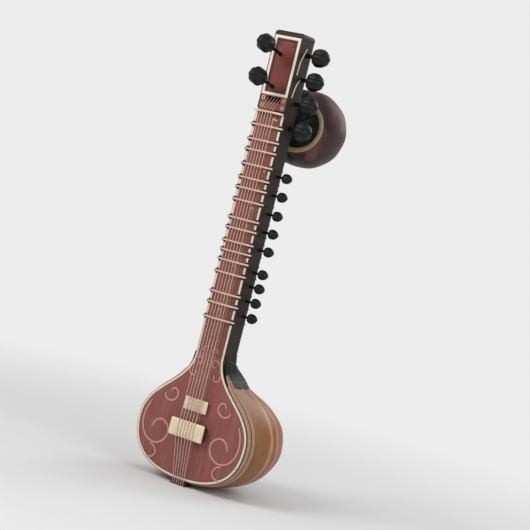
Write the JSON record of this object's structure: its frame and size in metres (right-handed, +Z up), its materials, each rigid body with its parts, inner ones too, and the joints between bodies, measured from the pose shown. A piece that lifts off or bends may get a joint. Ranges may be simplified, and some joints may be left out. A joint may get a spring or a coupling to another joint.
{
  "type": "sitar",
  "caption": "Long-necked plucked lute with a round gourd body, arched sliding frets, side and face tuning pegs, and a second gourd behind the neck.",
  "frame": {"origin": "on the underside of the tailpiece, on the centre line of the neck, in the plane of the soundboard's front", "axes": "+Z up the neck to the head, the soundboard faces -Y, +X toward the row of side pegs"},
  "size_m": [0.376, 0.416, 1.22],
  "materials": {
    "red_wood": "satin lacquer",
    "dark_wood": "dark satin lacquer",
    "red_panel": "glossy red lacquer",
    "gourd_skin": "polished brown gourd shell",
    "tumba_skin": "dark polished gourd shell",
    "tan_wood": "tan lacquered band",
    "dark_carving": "dark green-black stained carving",
    "peg_wood": "black lacquered turned wood",
    "cream_inlay": "cream inlay",
    "bone": "polished bone",
    "fret_brass": "pale brass",
    "string_metal": "drawn wire"
  },
  "bodies": {
    "root": {"lower_gourd": "gourd_skin", "gourd_rim_band": "tan_wood", "neck_collar": "dark_carving", "soundboard": "red_wood", "face_binding": "cream_inlay", "neck_shell": "dark_wood", "neck_face_plate": "red_wood", "head_block": "dark_wood", "head_panel": "red_panel", "head_panel_frame": "cream_inlay", "head_cap": "dark_wood", "crest_plate": "red_wood", "nut": "bone", "main_bridge": "bone", "small_bridge": "bone", "tailpiece": "bone", "chikari_post": "bone", "upper_gourd_stud": "dark_carving", "string_1": "string_metal", "string_2": "string_metal", "string_3": "string_metal", "string_4": "string_metal", "string_5": "string_metal", "string_6": "string_metal"},
    "side_peg_1": {"side_peg_1": "peg_wood"},
    "side_peg_2": {"side_peg_2": "peg_wood"},
    "side_peg_3": {"side_peg_3": "peg_wood"},
    "side_peg_4": {"side_peg_4": "peg_wood"},
    "face_peg_1": {"face_peg_1": "peg_wood"},
    "face_peg_2": {"face_peg_2": "peg_wood"},
    "small_peg_1": {"small_peg_1": "peg_wood"},
    "small_peg_2": {"small_peg_2": "peg_wood"},
    "small_peg_3": {"small_peg_3": "peg_wood"},
    "small_peg_4": {"small_peg_4": "peg_wood"},
    "small_peg_5": {"small_peg_5": "peg_wood"},
    "small_peg_6": {"small_peg_6": "peg_wood"},
    "small_peg_7": {"small_peg_7": "peg_wood"},
    "small_peg_8": {"small_peg_8": "peg_wood"},
    "small_peg_9": {"small_peg_9": "peg_wood"},
    "fret_01": {"fret_01": "fret_brass"},
    "fret_02": {"fret_02": "fret_brass"},
    "fret_03": {"fret_03": "fret_brass"},
    "fret_04": {"fret_04": "fret_brass"},
    "fret_05": {"fret_05": "fret_brass"},
    "fret_06": {"fret_06": "fret_brass"},
    "fret_07": {"fret_07": "fret_brass"},
    "fret_08": {"fret_08": "fret_brass"},
    "fret_09": {"fret_09": "fret_brass"},
    "fret_10": {"fret_10": "fret_brass"},
    "fret_11": {"fret_11": "fret_brass"},
    "fret_12": {"fret_12": "fret_brass"},
    "fret_13": {"fret_13": "fret_brass"},
    "fret_14": {"fret_14": "fret_brass"},
    "fret_15": {"fret_15": "fret_brass"},
    "fret_16": {"fret_16": "fret_brass"},
    "tumba": {"upper_gourd": "tumba_skin", "upper_gourd_ring": "tan_wood", "upper_gourd_disc": "dark_carving"}
  },
  "joints": [
    {"name": "side_peg_1_turn", "type": "hinge", "parent": "root", "child": "side_peg_1", "pos_m": [0.044, 0.04, 1.169], "axis": [1, 0, 0], "continuous": true},
    {"name": "side_peg_2_turn", "type": "hinge", "parent": "root", "child": "side_peg_2", "pos_m": [0.044, 0.04, 1.105], "axis": [1, 0, 0], "continuous": true},
    {"name": "side_peg_3_turn", "type": "hinge", "parent": "root", "child": "side_peg_3", "pos_m": [0.044, 0.04, 1.04], "axis": [1, 0, 0], "continuous": true},
    {"name": "side_peg_4_turn", "type": "hinge", "parent": "root", "child": "side_peg_4", "pos_m": [0.044, 0.04, 0.974], "axis": [1, 0, 0], "continuous": true},
    {"name": "face_peg_1_turn", "type": "hinge", "parent": "root", "child": "face_peg_1", "pos_m": [-0.014, 0, 1.157], "axis": [0, -0.9856, 0.1692], "continuous": true},
    {"name": "face_peg_2_turn", "type": "hinge", "parent": "root", "child": "face_peg_2", "pos_m": [-0.014, 0, 1.07], "axis": [0, -0.9856, 0.1692], "continuous": true},
    {"name": "small_peg_1_turn", "type": "hinge", "parent": "root", "child": "small_peg_1", "pos_m": [0.044, 0.04, 0.845], "axis": [1, 0, 0], "continuous": true},
    {"name": "small_peg_2_turn", "type": "hinge", "parent": "root", "child": "small_peg_2", "pos_m": [0.044, 0.04, 0.795], "axis": [1, 0, 0], "continuous": true},
    {"name": "small_peg_3_turn", "type": "hinge", "parent": "root", "child": "small_peg_3", "pos_m": [0.044, 0.04, 0.744], "axis": [1, 0, 0], "continuous": true},
    {"name": "small_peg_4_turn", "type": "hinge", "parent": "root", "child": "small_peg_4", "pos_m": [0.044, 0.04, 0.696], "axis": [1, 0, 0], "continuous": true},
    {"name": "small_peg_5_turn", "type": "hinge", "parent": "root", "child": "small_peg_5", "pos_m": [0.044, 0.04, 0.648], "axis": [1, 0, 0], "continuous": true},
    {"name": "small_peg_6_turn", "type": "hinge", "parent": "root", "child": "small_peg_6", "pos_m": [0.044, 0.04, 0.587], "axis": [1, 0, 0], "continuous": true},
    {"name": "small_peg_7_turn", "type": "hinge", "parent": "root", "child": "small_peg_7", "pos_m": [0.044, 0.04, 0.549], "axis": [1, 0, 0], "continuous": true},
    {"name": "small_peg_8_turn", "type": "hinge", "parent": "root", "child": "small_peg_8", "pos_m": [0.044, 0.04, 0.51], "axis": [1, 0, 0], "continuous": true},
    {"name": "small_peg_9_turn", "type": "hinge", "parent": "root", "child": "small_peg_9", "pos_m": [0.044, 0.04, 0.469], "axis": [1, 0, 0], "continuous": true},
    {"name": "fret_01_slide", "type": "slide", "parent": "root", "child": "fret_01", "axis": [0, 0, 1], "range_m": [-0.005, 0.005]},
    {"name": "fret_02_slide", "type": "slide", "parent": "root", "child": "fret_02", "axis": [0, 0, 1], "range_m": [-0.005, 0.005]},
    {"name": "fret_03_slide", "type": "slide", "parent": "root", "child": "fret_03", "axis": [0, 0, 1], "range_m": [-0.005, 0.005]},
    {"name": "fret_04_slide", "type": "slide", "parent": "root", "child": "fret_04", "axis": [0, 0, 1], "range_m": [-0.005, 0.005]},
    {"name": "fret_05_slide", "type": "slide", "parent": "root", "child": "fret_05", "axis": [0, 0, 1], "range_m": [-0.005, 0.005]},
    {"name": "fret_06_slide", "type": "slide", "parent": "root", "child": "fret_06", "axis": [0, 0, 1], "range_m": [-0.005, 0.005]},
    {"name": "fret_07_slide", "type": "slide", "parent": "root", "child": "fret_07", "axis": [0, 0, 1], "range_m": [-0.005, 0.005]},
    {"name": "fret_08_slide", "type": "slide", "parent": "root", "child": "fret_08", "axis": [0, 0, 1], "range_m": [-0.005, 0.005]},
    {"name": "fret_09_slide", "type": "slide", "parent": "root", "child": "fret_09", "axis": [0, 0, 1], "range_m": [-0.005, 0.005]},
    {"name": "fret_10_slide", "type": "slide", "parent": "root", "child": "fret_10", "axis": [0, 0, 1], "range_m": [-0.005, 0.005]},
    {"name": "fret_11_slide", "type": "slide", "parent": "root", "child": "fret_11", "axis": [0, 0, 1], "range_m": [-0.005, 0.005]},
    {"name": "fret_12_slide", "type": "slide", "parent": "root", "child": "fret_12", "axis": [0, 0, 1], "range_m": [-0.005, 0.005]},
    {"name": "fret_13_slide", "type": "slide", "parent": "root", "child": "fret_13", "axis": [0, 0, 1], "range_m": [-0.005, 0.005]},
    {"name": "fret_14_slide", "type": "slide", "parent": "root", "child": "fret_14", "axis": [0, 0, 1], "range_m": [-0.005, 0.005]},
    {"name": "fret_15_slide", "type": "slide", "parent": "root", "child": "fret_15", "axis": [0, 0, 1], "range_m": [-0.005, 0.005]},
    {"name": "fret_16_slide", "type": "slide", "parent": "root", "child": "fret_16", "axis": [0, 0, 1], "range_m": [-0.005, 0.005]},
    {"name": "upper_gourd_unscrew", "type": "hinge", "parent": "root", "child": "tumba", "pos_m": [0, 0.198, 0.991], "axis": [0, 1, 0], "continuous": true}
  ]
}
